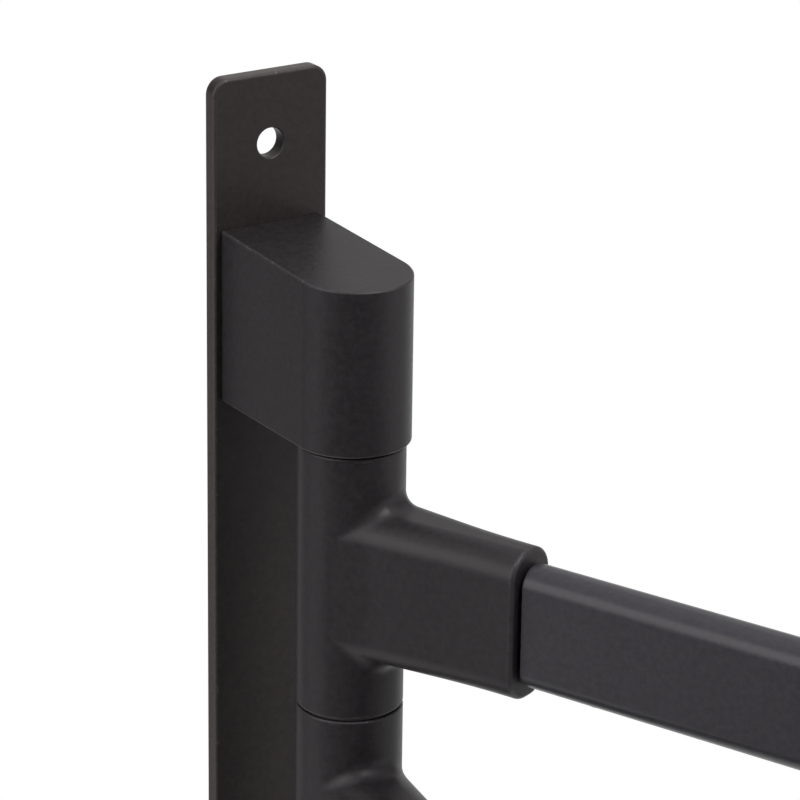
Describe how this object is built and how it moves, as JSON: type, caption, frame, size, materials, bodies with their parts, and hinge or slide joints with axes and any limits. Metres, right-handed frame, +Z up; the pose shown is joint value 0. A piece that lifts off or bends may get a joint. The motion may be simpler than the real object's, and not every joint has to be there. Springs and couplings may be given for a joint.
{
  "type": "swing arm towel bar",
  "caption": "Matt black wall-mounted towel rack: a narrow plate with two brackets holds a pivot shaft, on which flat oval bars swing from side to side at different heights.",
  "frame": {"origin": "middle of the wall plate's back face, which lies on the wall", "axes": "+Z up, +Y into the wall, +X along the wall to the right as seen from the room; the arms reach out towards -Y"},
  "size_m": [0.3076, 0.3752, 0.2308],
  "materials": {
    "coat": "matt black powder coat on cast zinc and steel",
    "bar_coat": "matt black powder coat on aluminium tube",
    "cap_plastic": "moulded black, fine matt grain",
    "nylon": "plain black nylon",
    "shaft_steel": "ground",
    "zinc_screw": "zinc plated"
  },
  "bodies": {
    "wall_mount": {"wall_plate": "coat", "top_bracket": "coat", "bottom_bracket": "coat", "top_bracket_screws": "zinc_screw", "bottom_bracket_screws": "zinc_screw", "pivot_shaft": "shaft_steel", "shaft_screw": "zinc_screw", "thrust_washer_1": "nylon", "thrust_washer_2": "nylon", "thrust_washer_3": "nylon", "thrust_washer_4": "nylon"},
    "top_arm": {"top_arm_hub": "coat", "top_arm_upper_bush": "nylon", "top_arm_lower_bush": "nylon", "top_arm_bar": "bar_coat", "top_arm_end_cap": "cap_plastic", "top_arm_set_screw": "zinc_screw"},
    "middle_arm": {"middle_arm_hub": "coat", "middle_arm_upper_bush": "nylon", "middle_arm_lower_bush": "nylon", "middle_arm_bar": "bar_coat", "middle_arm_end_cap": "cap_plastic", "middle_arm_set_screw": "zinc_screw"},
    "bottom_arm": {"bottom_arm_hub": "coat", "bottom_arm_upper_bush": "nylon", "bottom_arm_lower_bush": "nylon", "bottom_arm_bar": "bar_coat", "bottom_arm_end_cap": "cap_plastic", "bottom_arm_set_screw": "zinc_screw"}
  },
  "joints": [
    {"name": "top_arm_swing", "type": "hinge", "parent": "wall_mount", "child": "top_arm", "pos_m": [0, -0.026, 0.0428], "axis": [0, 0, 1], "range_deg": [-111.2, 68.8]},
    {"name": "middle_arm_swing", "type": "hinge", "parent": "wall_mount", "child": "middle_arm", "pos_m": [0, -0.026, 0], "axis": [0, 0, 1], "range_deg": [-85.6, 94.4]},
    {"name": "bottom_arm_swing", "type": "hinge", "parent": "wall_mount", "child": "bottom_arm", "pos_m": [0, -0.026, -0.0428], "axis": [0, 0, 1], "range_deg": [-60, 120]}
  ]
}
